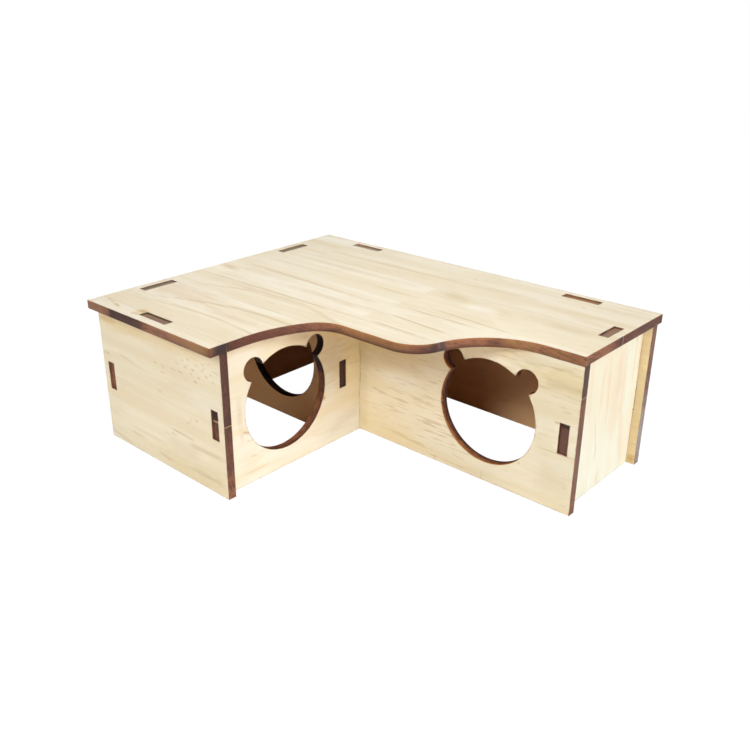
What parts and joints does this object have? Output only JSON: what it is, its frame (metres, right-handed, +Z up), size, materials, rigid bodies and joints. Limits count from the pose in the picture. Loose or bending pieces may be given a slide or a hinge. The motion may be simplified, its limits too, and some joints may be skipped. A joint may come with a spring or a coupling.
{
  "type": "wooden hamster house",
  "caption": "L-shaped pet hideout of flat slotted pine boards with an open bottom, bear-shaped doors onto a corner porch, an inner partition and a lift-off roof with a wavy edge.",
  "frame": {"origin": "middle of the roof's outline box, on the ground under the walls", "axes": "+X along the long back wall towards the right-hand leg's end, +Y towards the back wall, so that -Y is the front, and +Z up"},
  "size_m": [0.3, 0.235, 0.106],
  "materials": {
    "roof_pine": "bare sanded pine, pale cream with faint grain along X, browned laser-cut edges",
    "front_pine": "bare sanded pine, cream with short dark flecks, grain along X, browned laser-cut edges",
    "side_pine": "bare sanded pine, very pale, grain upright, browned laser-cut edges",
    "porch_pine": "bare sanded pine, warm cream, level grain, browned laser-cut edges and door rims",
    "inner_pine": "bare sanded pine, level grain, browned laser-cut door rim",
    "back_pine": "bare sanded pine, cream, level grain, browned laser-cut edges"
  },
  "bodies": {
    "walls": {"front_end_wall": "front_pine", "left_side_wall": "side_pine", "porch_door_wall": "porch_pine", "inner_partition": "inner_pine", "front_door_wall": "porch_pine", "right_end_wall": "side_pine", "back_wall": "back_pine"},
    "roof": {"roof_panel": "roof_pine"}
  },
  "joints": [
    {"name": "roof_lift", "type": "slide", "parent": "walls", "child": "roof", "axis": [0, 0, 1], "range_m": [0, 0.08]}
  ]
}
